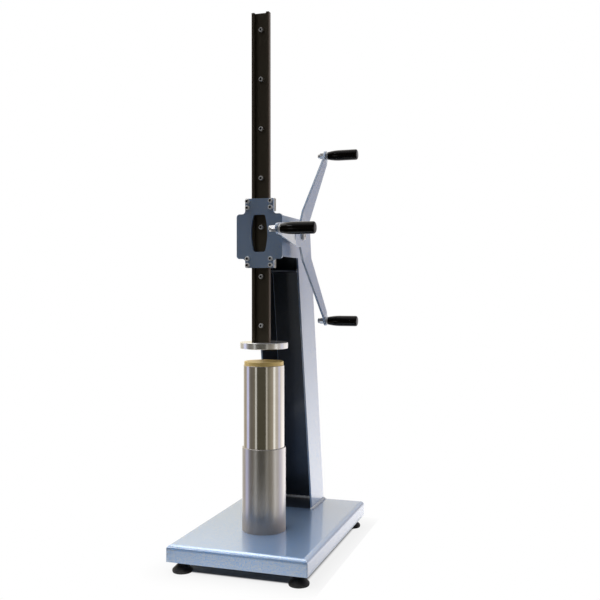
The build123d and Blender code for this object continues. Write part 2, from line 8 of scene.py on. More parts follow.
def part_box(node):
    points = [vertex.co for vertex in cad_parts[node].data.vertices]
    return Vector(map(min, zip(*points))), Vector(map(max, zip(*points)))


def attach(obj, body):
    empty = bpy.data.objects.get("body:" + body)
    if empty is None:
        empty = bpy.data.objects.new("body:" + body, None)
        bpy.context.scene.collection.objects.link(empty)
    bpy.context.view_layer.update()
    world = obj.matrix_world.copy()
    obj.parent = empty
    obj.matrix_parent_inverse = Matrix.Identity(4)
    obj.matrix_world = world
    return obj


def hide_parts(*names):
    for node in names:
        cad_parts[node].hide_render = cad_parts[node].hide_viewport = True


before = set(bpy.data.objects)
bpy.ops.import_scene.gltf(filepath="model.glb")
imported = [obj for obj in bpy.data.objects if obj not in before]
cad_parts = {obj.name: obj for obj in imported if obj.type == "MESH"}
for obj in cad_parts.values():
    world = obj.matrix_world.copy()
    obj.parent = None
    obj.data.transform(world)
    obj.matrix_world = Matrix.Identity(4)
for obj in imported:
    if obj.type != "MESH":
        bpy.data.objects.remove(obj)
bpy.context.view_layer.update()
scene = bpy.context.scene
MM = 0.001


# Base tray: one sheet of 4 mm steel folded down on four sides, with closed and ground
# corners, sprayed with a satin blue-grey paint that has fine metal flake in it.
# Every other painted piece of the stand takes the same paint.
class Wire:
    """One output of a node; plain arithmetic on it adds Math nodes."""

    def __init__(self, tree, socket=None):
        self.tree = tree
        self.socket = socket

    def node(self, kind, settings=None, values=None, out=0):
        """Add a node: its settings first, then a value or a link for each socket."""
        made = self.tree.nodes.new(kind)
        for name, value in (settings or {}).items():
            if name == "stops":
                ramp = made.color_ramp.elements
                while len(ramp) < len(value):
                    ramp.new(0.5)
                for stop, (position, colour) in zip(ramp, value):
                    stop.position = position
                    stop.color = colour
            else:
                setattr(made, name, value)
        for name, value in (values or {}).items():
            if isinstance(value, Wire):
                self.tree.links.new(value.socket, made.inputs[name])
            else:
                made.inputs[name].default_value = value
        return Wire(self.tree, made.outputs[out])

    def math(self, operation, first, second=0.0):
        return self.node("ShaderNodeMath", {"operation": operation}, {0: first, 1: second})

    def __add__(self, other):
        return self.math("ADD", self, other)

    def __radd__(self, other):
        return self.math("ADD", other, self)

    def __sub__(self, other):
        return self.math("SUBTRACT", self, other)

    def __rsub__(self, other):
        return self.math("SUBTRACT", other, self)

    def __mul__(self, other):
        return self.math("MULTIPLY", self, other)

    def __rmul__(self, other):
        return self.math("MULTIPLY", other, self)

    def __truediv__(self, other):
        return self.math("DIVIDE", self, other)

    def stretched(self, scale, move=(0, 0, 0)):
        """These coordinates moved, then scaled, so that a pattern runs one way."""
        moved = self.node("ShaderNodeVectorMath", {"operation": "ADD"}, {0: self, 1: move})
        values = {"Vector": moved, "Scale": scale}
        return self.node("ShaderNodeMapping", {"vector_type": "POINT"}, values)

    def noise(self, scale, detail=2.0, roughness=0.5):
        values = {"Vector": self, "Scale": scale, "Detail": detail, "Roughness": roughness}
        return self.node("ShaderNodeTexNoise", None, values)

    def eased(self, low, high):
        """0 below low, 1 above high, with a soft step between."""
        settings = {"interpolation_type": "SMOOTHSTEP"}
        return self.node("ShaderNodeMapRange", settings, {0: self, 1: low, 2: high})

    def tint(self, low, high):
        """A colour that goes from low to high as this value goes from 0 to 1."""
        values = {0: self, 6: low, 7: high}
        return self.node("ShaderNodeMix", {"data_type": "RGBA"}, values, 2)

    def relief(self, strength, depth):
        """A surface that rises and falls with this value."""
        values = {"Height": self, "Strength": strength, "Distance": depth}
        return self.node("ShaderNodeBump", None, values)


def rgb(red, green, blue):
    return (red, green, blue, 1.0)


def finish(name):
    """A new material: its shader, and the piece's own coordinates in metres."""
    material = bpy.data.materials.new(name)
    material.use_nodes = True
    tree = material.node_tree
    place = Wire(tree).node("ShaderNodeTexCoord", out="Object")
    return material, tree.nodes["Principled BSDF"], place


def feed(shader, values):
    for name, value in values.items():
        if isinstance(value, Wire):
            shader.id_data.links.new(value.socket, shader.inputs[name])
        else:
            shader.inputs[name].default_value = value


def dress(material, *nodes):
    """Give CAD pieces that are shown as they are a better material."""
    for node in nodes:
        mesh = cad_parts[node].data
        for index in range(len(mesh.materials)):
            mesh.materials[index] = material


paint, shader, place = finish("blue_flake_paint")
flake = (place.noise(1700.0, 1.0, 0.6) * 0.75 + place.noise(900.0, 1.0) * 0.25).eased(0.36, 0.64)
sparkle = place.noise(1100.0, 1.0, 0.6).eased(0.35, 0.65)
cloud = place.noise(9.0, 3.0)
peel = place.noise(260.0, 2.0)
silver = (cloud * 0.3 + sparkle * 0.7).tint(rgb(0.53, 0.53, 0.475), rgb(0.74, 0.735, 0.66))
axes = place.node("ShaderNodeSeparateXYZ", None, {0: place})
x, y, z = (Wire(paint.node_tree, s) for s in axes.socket.node.outputs)
# Painted shade: the tray's top inside the column's foot is painted dark, with little coat.
inner_half, open_side, back_wall = 0.0486, 0.189, 0.2885
under_face, over_face = 0.0592, 0.0604
between_sides = (inner_half - place.math("ABSOLUTE", x)).eased(0.0, 0.0008)
before_back = (y - open_side).eased(0.0, 0.0015) * (back_wall - y).eased(0.0, 0.0008)
on_tray = (z - under_face).eased(0.0, 0.0004) * (over_face - z).eased(0.0, 0.0003)
shaded_column_foot = between_sides * before_back * on_tray
# Painted shade: faces marked inside the column's channel get the same dark, low-coat paint.
painted_shade = place.node("ShaderNodeAttribute", {"attribute_name": "thin_coat"}, out="Fac")
painted_shade = place.math("MAXIMUM", painted_shade, shaded_column_foot) * 0.95
painted_shade_colour = flake.tint(rgb(0.023, 0.036, 0.064), rgb(0.098, 0.11, 0.135))
feed(shader, {
    "Base Color": painted_shade.tint(flake.tint(rgb(0.06, 0.28, 0.70), silver), painted_shade_colour),
    "Metallic": flake * 0.95,
    "Roughness": 0.30 + flake * 0.06 + cloud * 0.04,
    "Coat Weight": 1.0 - painted_shade * 0.85,
    "Coat Roughness": 0.06,
    "Coat IOR": 1.58,
    "Normal": peel.relief(0.18, 0.00025),
})
dress(paint, "base_tray")


# Foot bosses, washers and screws: turned bosses welded under the tray, and a zinc-plated
# screw with its washer up through each rubber foot. They show only from below.
steel, shader, place = finish("bare_turned_steel")
marks = place.stretched((60.0, 60.0, 1400.0)).noise(1.0, 3.0, 0.6)
stain = place.noise(38.0, 4.0, 0.6)
feed(shader, {
    "Base Color": stain.tint(rgb(0.36, 0.35, 0.345), rgb(0.52, 0.51, 0.50)),
    "Metallic": 1.0,
    "Roughness": 0.26 + marks * 0.14 + stain * 0.06,
    "Normal": marks.relief(0.2, 0.00006),
})
zinc, shader, place = finish("bright_zinc_plate")
bloom = place.noise(160.0, 3.0, 0.6)
grain = place.noise(900.0, 2.0)
# Painted shade: faces inside the hexagon sockets are coloured near-black and made rougher.
socket_shade = place.node("ShaderNodeAttribute", {"attribute_name": "in_socket"}, out="Fac")
plated = bloom.tint(rgb(0.82, 0.82, 0.80), rgb(0.95, 0.95, 0.94))
feed(shader, {
    "Base Color": socket_shade.tint(plated, rgb(0.06, 0.06, 0.062)),
    "Metallic": 0.22,
    "Roughness": 0.24 + bloom * 0.14 + socket_shade * 0.25,
    "Normal": grain.relief(0.12, 0.00005),
})
dress(steel, "foot_bosses")
dress(zinc, "foot_washers", "foot_screws")


# Rubber feet: moulded black rubber, a wide rim on the floor under a cone, hollow below
# for the screw's head. One stands under each corner of the tray.
def rounded(corners, steps=5):
    """Points of an outline whose corners (x, y, size) are rounded by that size."""
    points = []
    count = len(corners)
    for index, (x, y, size) in enumerate(corners):
        here = Vector((x, y))
        if size <= 0 or index in (0, count - 1):
            points.append((x, y))
            continue
        before = Vector(corners[index - 1][:2]) - here
        after = Vector(corners[index + 1][:2]) - here
        before = before.normalized() * min(size, before.length * 0.4)
        after = after.normalized() * min(size, after.length * 0.4)
        points.append(tuple(here + before * 1.2))
        for step in range(steps + 1):
            t = step / steps
            points.append(tuple(here + before * (1 - t) ** 2 + after * t ** 2))
        points.append(tuple(here + after * 1.2))
    return points


def spin(work, outline, place, segments, closed=False):
    """Spin an outline of (radius, height) about Z into a mesh and put it in place.

    A radius may also be a function of the angle, for a section that isn't round."""
    rings = []
    for radius, height in outline:
        if radius == 0:
            rings.append([work.verts.new(place @ Vector((0, 0, height)))])
            continue
        ring = []
        for index in range(segments):
            angle = math.tau * index / segments
            reach = radius(angle) if callable(radius) else radius
            ring.append(work.verts.new(
                place @ Vector((reach * math.cos(angle), reach * math.sin(angle), height))))
        rings.append(ring)
    pairs = list(zip(rings, rings[1:]))
    if closed:
        pairs.append((rings[-1], rings[0]))
    for lower, upper in pairs:
        for index in range(segments):
            following = (index + 1) % segments
            corners = (
                lower[index % len(lower)],
                lower[following % len(lower)],
                upper[following % len(upper)],
                upper[index % len(upper)],
            )
            corners = list(dict.fromkeys(corners))
            if len(corners) > 2:
                work.faces.new(corners)


def piece_from(work, name, material, smooth=32):
    """Turn a finished mesh into a shown piece with smooth faces between sharp edges."""
    bmesh.ops.recalc_face_normals(work, faces=work.faces[:])
    mesh = bpy.data.meshes.new(name)
    work.to_mesh(mesh)
    work.free()
    for polygon in mesh.polygons:
        polygon.use_smooth = True
    mesh.set_sharp_from_angle(angle=math.radians(smooth))
    mesh.materials.append(material)
    piece = bpy.data.objects.new(name, mesh)
    scene.collection.objects.link(piece)
    return piece


def mount(piece, body, slot, *nodes):
    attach(piece, body)
    if nodes:
        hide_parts(*nodes)


rubber, shader, place = finish("moulded_rubber")
dust = place.noise(55.0, 4.0, 0.65)
pebble = place.noise(700.0, 2.0)
feed(shader, {
    "Base Color": dust.eased(0.35, 0.8).tint(rgb(0.006, 0.006, 0.006), rgb(0.022, 0.021, 0.019)),
    "Roughness": 0.42 + dust * 0.3,
    "Normal": pebble.relief(0.3, 0.0001),
})
foot_outline = rounded([
    (4.7, 12.0, 0), (9.5, 12.0, 0.4), (9.5, 0.0, 0.8), (13.0, 0.0, 0.5), (13.4, 0.7, 0.3),
    (16.4, 0.7, 0.3), (16.8, 0.0, 0.5), (20.6, 0.0, 1.2), (21.5, 3.2, 1.4), (21.2, 6.0, 1.6),
    (18.2, 9.0, 2.0), (9.0, 17.5, 3.0), (9.0, 24.6, 0.4), (9.6, 25.2, 0.3), (9.6, 26.0, 0.3),
    (4.7, 26.0, 0),
])
foot_side, foot_front, foot_back = 127.5, -143.0, 277.0
work = bmesh.new()
for across in (-foot_side, foot_side):
    for along in (foot_front, foot_back):
        stand = Matrix.Translation((across * MM, along * MM, 0)) @ Matrix.Scale(MM, 4)
        spin(work, foot_outline, stand, 96, closed=True)
mount(piece_from(work, "feet_moulded", rubber), "stand", "black_rubber", "rubber_feet")


# Column: one channel folded from 4 mm sheet that leans towards the user and ends in a head
# with two cheeks, with a cross plate and a top plate welded in. Its sheet edges are broken.
def softened(node, name, material, width):
    """A copy of a CAD piece with its sharp edges broken by a small round."""
    work = bmesh.new()
    work.from_mesh(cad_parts[node].data)
    bmesh.ops.remove_doubles(work, verts=work.verts[:], dist=2e-6)
    bmesh.ops.dissolve_limit(
        work, angle_limit=math.radians(0.3), verts=work.verts[:], edges=work.edges[:])
    piece = piece_from(work, name, material, 60)
    edge = piece.modifiers.new("broken_edge", "BEVEL")
    edge.width = width * MM
    edge.segments = 2
    edge.limit_method = "ANGLE"
    edge.angle_limit = math.radians(40)
    level = piece.modifiers.new("flat_faces", "WEIGHTED_NORMAL")
    level.keep_sharp = False
    return piece


def paint_shade_inside(piece):
    """Mark the faces inside the folded channel, which the paint makes dark as painted shade."""
    mark = piece.data.attributes.new("thin_coat", "FLOAT", "FACE")
    half_width = 0.049
    for polygon in piece.data.polygons:
        x, y, z = polygon.normal
        middle = polygon.center
        inwards = abs(x) > 0.9 and x * middle.x < 0
        in_shade = inwards or y < -0.93 or abs(z) > 0.9
        mark.data[polygon.index].value = float(abs(middle.x) < half_width and in_shade)


column = softened("column", "column_folded", paint, 0.5)
paint_shade_inside(column)
mount(column, "stand", "painted_blue", "column")
cross = softened("column_cross_plate", "cross_plate_welded", paint, 0.4)
paint_shade_inside(cross)
mount(cross, "stand", "painted_blue", "column_cross_plate")
mount(softened("head_top_plate", "top_plate_welded", paint, 0.4),
      "stand", "painted_blue", "head_top_plate")


# Weld beads: the fillets that hold the column on the tray, the cross plate in the column and
# the bearing bosses in the cheeks, each a row of overlapping ripples, painted over.
def geometry_tree(name, inputs):
    """A geometry tree with named inputs, given back with a Wire for each of them."""
    tree = bpy.data.node_groups.new(name, "GeometryNodeTree")
    tree.interface.new_socket("Geometry", in_out="INPUT", socket_type="NodeSocketGeometry")
    for label, kind in inputs.items():
        tree.interface.new_socket(label, in_out="INPUT", socket_type="NodeSocket" + kind)
    tree.interface.new_socket("Geometry", in_out="OUTPUT", socket_type="NodeSocketGeometry")
    given = tree.nodes.new("NodeGroupInput")
    return tree, {s.name: Wire(tree, s) for s in given.outputs if s.name}


def close_tree(shape, material):
    """End a geometry tree with real faces in one material."""
    real = shape.node("GeometryNodeRealizeInstances", None, {"Geometry": shape})
    coated = real.node("GeometryNodeSetMaterial", None, {"Geometry": real, "Material": material})
    shape.tree.links.new(coated.socket, shape.tree.nodes.new("NodeGroupOutput").inputs[0])


def grown(name, tree, points, edges, values, smooth=32):
    """Run a geometry tree on points and edges, and keep its result as a plain mesh."""
    seed = bpy.data.meshes.new(name + "_places")
    seed.from_pydata([Vector(p) * MM for p in points], edges, [])
    piece = bpy.data.objects.new(name, seed)
    scene.collection.objects.link(piece)
    grow = piece.modifiers.new("grow", "NODES")
    grow.node_group = tree
    for item in tree.interface.items_tree:
        if item.in_out == "INPUT" and item.name in values:
            grow[item.identifier] = values[item.name]
    bpy.context.view_layer.update()
    graph = bpy.context.evaluated_depsgraph_get()
    mesh = bpy.data.meshes.new_from_object(piece.evaluated_get(graph), depsgraph=graph)
    piece.modifiers.clear()
    piece.data = mesh
    for polygon in mesh.polygons:
        polygon.use_smooth = True
    mesh.set_sharp_from_angle(angle=math.radians(smooth))
    return piece


bead_tree, ask = geometry_tree("weld_bead", {
    "Ripple Step": "Float", "Leg": "Float", "Unevenness": "Float", "Seed": "Int",
    "Material": "Material"})
run = ask["Geometry"].node("GeometryNodeMeshToCurve", None, {"Mesh": ask["Geometry"]})
stops = run.node("GeometryNodeCurveToPoints", {"mode": "LENGTH"},
                 {"Curve": run, "Length": ask["Ripple Step"]})
turn = Wire(bead_tree, stops.socket.node.outputs["Rotation"])
ripple = run.node("GeometryNodeMeshUVSphere", None, {"Segments": 12, "Rings": 8, "Radius": 1.0})
wobble = run.node("FunctionNodeRandomValue", {"data_type": "FLOAT"},
                  {"Min": 1.0 - ask["Unevenness"], "Max": 1.0 + ask["Unevenness"],
                   "Seed": ask["Seed"]}, 1)
across = wobble * ask["Leg"]
size = run.node("ShaderNodeCombineXYZ", None, {0: across, 1: across, 2: ask["Ripple Step"] * 1.25})
laid = run.node("GeometryNodeInstanceOnPoints", None,
                {"Points": stops, "Instance": ripple, "Rotation": turn, "Scale": size})
close_tree(laid, ask["Material"])

# Painted highlight: the paint on the beads is a near-white in place of the highlights they catch.
bead_painted_highlight, shader, place = finish("weld_paint_with_painted_highlight")
spatter = place.noise(520.0, 3.0, 0.6)
feed(shader, {
    "Base Color": spatter.tint(rgb(0.80, 0.86, 0.94), rgb(0.92, 0.95, 1.0)),
    "Roughness": 0.22 + spatter * 0.12,
    "Coat Weight": 1.0,
    "Normal": spatter.relief(0.3, 0.0002),
})
column_low, column_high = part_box("column")
plate_low, plate_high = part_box("column_cross_plate")
column_depth, sheet = 104.0, 4.0
shaft_y, shaft_z, boss_radius = 41.4, 706.0, 15.0
side = column_high.x / MM
back = column_high.y / MM
front = back - column_depth
floor_z = column_low.z / MM
gap, bend_back, bend_side = 1, 4, 5
foot_runs = [
    [(side, front + gap, floor_z), (side, back - bend_back, floor_z)],
    [(-side, front + gap, floor_z), (-side, back - bend_back, floor_z)],
    [(side - bend_side, back, floor_z), (-side + bend_side, back, floor_z)],
    [(side - sheet - gap, back - sheet, floor_z), (sheet + gap - side, back - sheet, floor_z)],
]
head_runs = []
near, far = plate_low.y / MM, plate_high.y / MM
near_stitch, far_stitch, hoop_steps = (1, 13), (-40, -16), 48
for sign in (-1, 1):
    edge_x = sign * (side - sheet)
    for level in (plate_low.z / MM, plate_high.z / MM):
        head_runs.append([(edge_x, near + end, level) for end in near_stitch])
        head_runs.append([(edge_x, far + end, level) for end in far_stitch])
    hoop = []
    for index in range(hoop_steps + 1):
        angle = math.tau * index / hoop_steps
        hoop.append((sign * side, shaft_y + boss_radius * math.cos(angle),
                     shaft_z + boss_radius * math.sin(angle)))
    head_runs.append(hoop)
for name, runs, leg in (("foot_welds", foot_runs, 5.2), ("head_welds", head_runs, 2.6)):
    points, edges = [], []
    for line in runs:
        start = len(points)
        points += line
        edges += [(start + i, start + i + 1) for i in range(len(line) - 1)]
    beads = grown(name, bead_tree, points, edges, {
        "Ripple Step": 2.6 * MM, "Leg": leg * MM, "Unevenness": 0.1, "Seed": 7,
        "Material": bead_painted_highlight}, 60)
    mount(beads, "stand", "painted_blue")


# Front plate: 6 mm plate cut with shoulders and a barrel-shaped window, welded across the
# cheeks in front of the rack. Its edges are broken by hand.
mount(softened("front_plate", "front_plate_cut", paint, 0.7),
      "stand", "painted_blue", "front_plate")


# Guide shoes: four milled blocks of white acetal behind the narrow ends of the front plate,
# which keep the rack from swaying.
acetal, shader, place = finish("milled_acetal")
cutter = place.stretched((300.0, 300.0, 1500.0)).noise(1.0, 2.0)
grease = place.noise(70.0, 3.0)
feed(shader, {
    "Base Color": grease.eased(0.45, 0.75).tint(rgb(0.74, 0.70, 0.60), rgb(0.40, 0.36, 0.29)),
    "Roughness": 0.36 + cutter * 0.16,
    "Normal": cutter.relief(0.2, 0.00008),
})
for height in ("upper", "lower"):
    for hand in ("left", "right"):
        node = f"guide_shoe_{height}_{hand}"
        shoe = softened(node, f"shoe_{height}_{hand}", acetal, 0.4)
        mount(shoe, "stand", "acetal", node)


# Cap screws: eight M6 screws hold the shoes to the front plate and seven hold the toothed
# bar in the rack channel. Zinc-plated, with knurled heads and hexagon sockets.
screw_tree, ask = geometry_tree("cap_screws", {
    "Head Radius": "Float", "Head Height": "Float", "Edge": "Float", "Knurls": "Int",
    "Knurl Depth": "Float", "Socket Width": "Float", "Socket Depth": "Float",
    "Shank Radius": "Float", "Shank Length": "Float", "Seed": "Int", "Material": "Material"})
radius, height, edge = ask["Head Radius"], ask["Head Height"], ask["Edge"]
drum = radius.node("GeometryNodeMeshCylinder", None, {
    "Vertices": ask["Knurls"] * 2.0, "Side Segments": 3, "Radius": radius, "Depth": height})
spot = drum.node("GeometryNodeInputPosition")
axes = spot.node("ShaderNodeSeparateXYZ", None, {0: spot})
x, y, z = (Wire(screw_tree, s) for s in axes.socket.node.outputs)
level = z + height * 0.5
is_top = spot.math("GREATER_THAN", level, height * 0.9)
is_band = spot.math("GREATER_THAN", level, height * 0.5) - is_top
order = drum.node("GeometryNodeInputIndex")
dent = spot.math("MODULO", order, 2.0) * ask["Knurl Depth"] * (1.0 - is_top)
shrink = 1.0 - dent / radius - is_top * edge / radius
lifted = level * (1.0 - is_band) + (height - edge) * is_band
formed = spot.node("ShaderNodeCombineXYZ", None, {0: x * shrink, 1: y * shrink, 2: lifted})
head = drum.node("GeometryNodeSetPosition", None, {"Geometry": drum, "Position": formed})
tool = drum.node("GeometryNodeMeshCylinder", None, {
    "Vertices": 6, "Radius": ask["Socket Width"] / math.sqrt(3), "Depth": ask["Socket Depth"] * 2.0})
raised = drum.node("ShaderNodeCombineXYZ", None, {2: height})
tool = drum.node("GeometryNodeTransform", None, {"Geometry": tool, "Translation": raised})
head = drum.node("GeometryNodeMeshBoolean", {"operation": "DIFFERENCE"},
                 {"Mesh 1": head, "Mesh 2": tool})
# Faces inside the hexagon socket, which the zinc paints dark as painted shade.
within = spot.math("LESS_THAN", x * x + y * y, ask["Socket Width"] * ask["Socket Width"] * 0.3)
sunk = spot.math("LESS_THAN", z, height * 0.99) * spot.math("GREATER_THAN", z, height * 0.2)
head = drum.node("GeometryNodeStoreNamedAttribute", {"data_type": "FLOAT", "domain": "FACE"},
                 {"Geometry": head, "Name": "in_socket", "Value": within * sunk})
shank = drum.node("GeometryNodeMeshCylinder", None, {
    "Vertices": 24, "Radius": ask["Shank Radius"], "Depth": ask["Shank Length"]})
lowered = drum.node("ShaderNodeCombineXYZ", None, {2: ask["Shank Length"] * -0.5})
shank = drum.node("GeometryNodeTransform", None, {"Geometry": shank, "Translation": lowered})
screw = drum.node("GeometryNodeJoinGeometry", None, {0: head})
screw_tree.links.new(shank.socket, screw.socket.node.inputs[0])
spun = drum.node("FunctionNodeRandomValue", {"data_type": "FLOAT"},
                 {"Min": 0.0, "Max": math.tau, "Seed": ask["Seed"]}, 1)
facing = drum.node("ShaderNodeCombineXYZ", None, {0: math.pi / 2, 1: spun})
facing = drum.node("FunctionNodeEulerToRotation", None, {0: facing})
fitted = drum.node("GeometryNodeInstanceOnPoints", None,
                   {"Points": ask["Geometry"], "Instance": screw, "Rotation": facing})
close_tree(fitted, ask["Material"])

cap_sizes = {
    "Head Radius": 5.0 * MM, "Head Height": 6.0 * MM, "Edge": 1.0 * MM, "Knurls": 30,
    "Knurl Depth": 0.22 * MM, "Socket Width": 5.0 * MM, "Socket Depth": 2.4 * MM,
    "Shank Radius": 2.9 * MM, "Shank Length": 17.5 * MM, "Material": zinc}
plate_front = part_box("front_plate")[0].y / MM
plate_base, plate_top = (corner.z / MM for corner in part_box("front_plate"))
screw_side = 26.4
places = []
for across in (-screw_side, screw_side):
    for inset in (6.0, 20.0):
        places.append((across, plate_front, plate_top - inset))
        places.append((across, plate_front, plate_base + inset))
held = grown("shoe_screws_fitted", screw_tree, places, [], dict(cap_sizes, Seed=3))
mount(held, "stand", "zinc", "shoe_screws")

groove_depth, end_margin, count = 8.0, 36.6, 7
groove_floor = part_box("rack_channel")[0].y / MM + groove_depth
rack_base, rack_top = (corner.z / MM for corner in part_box("rack_channel"))
pitch = (rack_top - rack_base - 2 * end_margin) / (count - 1)
places = [(0, groove_floor, rack_base + end_margin + pitch * i) for i in range(count)]
held = grown("rack_screws_fitted", screw_tree, places, [], dict(cap_sizes, Seed=5))
mount(held, "rack", "zinc", "rack_screws")


# Bearings: turned steel bosses welded through the cheeks and painted with them, with flanged
# bronze bushes pressed in, in which the crank shaft runs.
bronze, shader, place = finish("oiled_bronze")
pores = place.noise(800.0, 3.0, 0.6)
oil = place.noise(60.0, 3.0)
feed(shader, {
    "Base Color": oil.tint(rgb(0.42, 0.25, 0.10), rgb(0.62, 0.42, 0.20)),
    "Metallic": 1.0,
    "Roughness": 0.3 + pores * 0.18,
    "Normal": pores.relief(0.2, 0.00006),
})
dress(paint, "bearing_boss_left", "bearing_boss_right")
dress(bronze, "bearing_bush_left", "bearing_bush_right")


# Rack: a grooved steel channel with a toothed bar screwed to its back, both blackened and
# oiled. The shoes and the pinion have rubbed it brown along its edges.
black, shader, place = finish("oiled_black_oxide")
streak = place.stretched((420.0, 420.0, 9.0)).noise(1.0, 3.0, 0.6)
blot = place.noise(26.0, 4.0, 0.6)
axes = place.node("ShaderNodeSeparateXYZ", None, {0: place})
rub = place.math("ABSOLUTE", axes).eased(0.0165, 0.0203)
worn = (rub * (0.35 + streak * 0.6)).tint(rgb(0.080, 0.066, 0.044), rgb(0.15, 0.105, 0.075))
feed(shader, {
    "Base Color": worn,
    "Metallic": 0.55,
    "Roughness": 0.34 + streak * 0.16 + blot * 0.1,
    "Normal": streak.relief(0.12, 0.00006),
})
dress(black, "rack_channel", "toothed_bar", "pinion", "pinion_key", "hub_key",
      "retaining_ring", "grip_rings")


# Pressing disc: turned from bright aluminium bar, faced on both sides and screwed from below
# to the end of the toothed bar.
def turning_marks(place, pitch, turned_about_x=False, centre=(0, 0, 0)):
    """Fine rings about the axis on end faces, and fine rings along it on the outside."""
    moved = place.stretched((1, 1, 1), tuple(-c for c in centre))
    axes = moved.node("ShaderNodeSeparateXYZ", None, {0: moved})
    x, y, z = (Wire(place.tree, s) for s in axes.socket.node.outputs)
    along, first, second = (x, y, z) if turned_about_x else (z, x, y)
    radius = place.math("SQRT", first * first + second * second)
    lines = place.node("ShaderNodeCombineXYZ", None, {0: radius / pitch, 1: along / pitch})
    return lines.noise(1.0, 3.0, 0.65)


aluminium, shader, place = finish("faced_aluminium")
marks = turning_marks(place, 0.0011)
handled = place.noise(45.0, 3.0)
feed(shader, {
    "Base Color": handled.tint(rgb(0.90, 0.90, 0.87), rgb(0.99, 0.99, 0.97)),
    "Metallic": 0.85,
    "Roughness": 0.17 + marks * 0.10,
    "Normal": marks.relief(0.10, 0.00004),
})
mount(softened("pressing_disc", "pressing_disc_turned", aluminium, 0.6),
      "rack", "aluminium", "pressing_disc")
dress(zinc, "disc_screws")


# Shaft: ground steel with a pinion keyed on between two spacers, held at the left by a
# washer and a spring ring. It runs in the two bushes of the head.
shaft_steel, shader, place = finish("ground_shaft_steel")
marks = turning_marks(place, 0.0009, True, (0, shaft_y * MM, shaft_z * MM))
oil = place.noise(50.0, 3.0)
feed(shader, {
    "Base Color": oil.tint(rgb(0.45, 0.44, 0.42), rgb(0.62, 0.61, 0.59)),
    "Metallic": 1.0,
    "Roughness": 0.18 + marks * 0.15,
    "Normal": marks.relief(0.2, 0.00005),
})
dress(shaft_steel, "crank_shaft", "pinion_spacers", "thrust_washer", "hub_boss")


# Crank star: three arms cut from one 5 mm plate and dished outwards, clamped on the end of the
# shaft by a washer and a round-headed screw. Painted like the stand, its edges broken.
mount(softened("crank_star", "crank_star_dished", paint, 0.6),
      "crank", "painted_blue", "crank_star")
dress(zinc, "hub_washer", "hub_screw")


# Arm ends: each spindle's stud goes through the arm and is held by a washer and an acorn
# nut that points inwards. All are zinc-plated, the nuts over a polished finish.
polished_zinc, shader, place = finish("polished_zinc_plate")
bloom = place.noise(240.0, 2.0)
feed(shader, {
    "Base Color": bloom.tint(rgb(0.90, 0.90, 0.90), rgb(0.97, 0.97, 0.97)),
    "Metallic": 0.6,
    "Roughness": 0.17 + bloom * 0.06,
})
arm_radius = 221.4
tips = {}
for arm, angle in (("front", 270.0), ("upper", 150.0), ("lower", 30.0)):
    turn = math.radians(angle)
    tips[arm] = (shaft_y + arm_radius * math.sin(turn), shaft_z - arm_radius * math.cos(turn))
nut_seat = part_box("nut_washers")[0].x / MM
nut_width, nut_turn = 13.0, 0.39
nut_corner = nut_width / math.sqrt(3)
hexagon_height, blunting = 8.5, 0.55
corner_cut = 1.7 * blunting
dome_start, dome_height, dome_radius = 11.8, 3.2, 6.2


def hexagon(limit):
    """A section of the nut's hexagon with its corners cut back to a limit."""
    return lambda angle: min(limit, nut_width / 2 / math.cos(angle % (math.pi / 3) - math.pi / 6))


outline = [(0, 0.0)]
for step in range(5):
    cut = 1 - step / 4
    outline.append((hexagon(nut_corner - corner_cut * cut), blunting * (1 - cut)))
for step in range(5):
    cut = step / 4
    outline.append((hexagon(nut_corner - corner_cut * cut), hexagon_height - blunting * (1 - cut)))
outline += [(dome_radius, hexagon_height), (dome_radius, dome_start)]
for step in range(1, 12):
    turn = math.pi / 2 * step / 12
    outline.append((dome_radius * math.cos(turn), dome_start + dome_height * math.sin(turn)))
outline.append((0, dome_start + dome_height))
inwards = Matrix.Rotation(-math.pi / 2, 4, "Y") @ Matrix.Rotation(nut_turn, 4, "Z")
inwards = inwards @ Matrix.Scale(MM, 4)
work = bmesh.new()
for y, z in tips.values():
    spin(work, outline, Matrix.Translation((nut_seat * MM, y * MM, z * MM)) @ inwards, 96)
nuts = piece_from(work, "acorn_nuts_fitted", polished_zinc)
mount(nuts, "crank", "zinc", "acorn_nuts")
dress(zinc, "nut_washers", "grip_spindles")


# Grips: turned black phenolic handles, polished, each free to turn on its spindle. They swell
# from the collar to the hand's width and end in a rounded face.
phenolic, shader, place = finish("polished_black_phenolic")
ripple = place.noise(120.0, 2.0)
specks = place.noise(1600.0, 1.0).eased(0.66, 0.74)
feed(shader, {
    "Base Color": specks.tint(rgb(0.0065, 0.005, 0.0036), rgb(0.02, 0.017, 0.013)),
    "Roughness": 0.05 + ripple * 0.04 + specks * 0.1,
    "Specular IOR Level": 0.19,
    "Normal": ripple.relief(0.04, 0.0002),
})
bore_radius, bore_depth = 5.65, 60.0
neck_radius, grip_radius = 9.0, 12.1
flare_length, grip_length, end_round = 28.0, 69.5, 4.2
straight_end, face_radius = grip_length - end_round, grip_radius - end_round
outline = [(bore_radius, bore_depth, 0), (bore_radius, 0.0, 0.3), (neck_radius, 0.0, 0.7)]
for step in range(1, 15):
    t = step / 14
    swell = (grip_radius - neck_radius) * (2 * t - t * t)
    outline.append((neck_radius + swell, flare_length * t, 0.0))
outline.append((grip_radius, straight_end, 0.0))
for step in range(1, 9):
    turn = math.pi / 2 * step / 9
    outline.append((face_radius + end_round * math.cos(turn),
                    straight_end + end_round * math.sin(turn), 0.0))
outline += [(face_radius, grip_length, 0.0), (0.0, grip_length, 0.0)]
outline = [(0.0, bore_depth)] + rounded(outline)
grip_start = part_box("grip_front")[0].x / MM
sideways = Matrix.Rotation(math.pi / 2, 4, "Y")
for arm, (y, z) in tips.items():
    axis = Matrix.Translation((grip_start * MM, y * MM, z * MM)) @ sideways
    work = bmesh.new()
    spin(work, outline, axis @ Matrix.Scale(MM, 4), 96)
    grip = piece_from(work, f"grip_{arm}_turned", phenolic, 40)
    mount(grip, f"{arm}_grip", "black_grip", f"grip_{arm}")
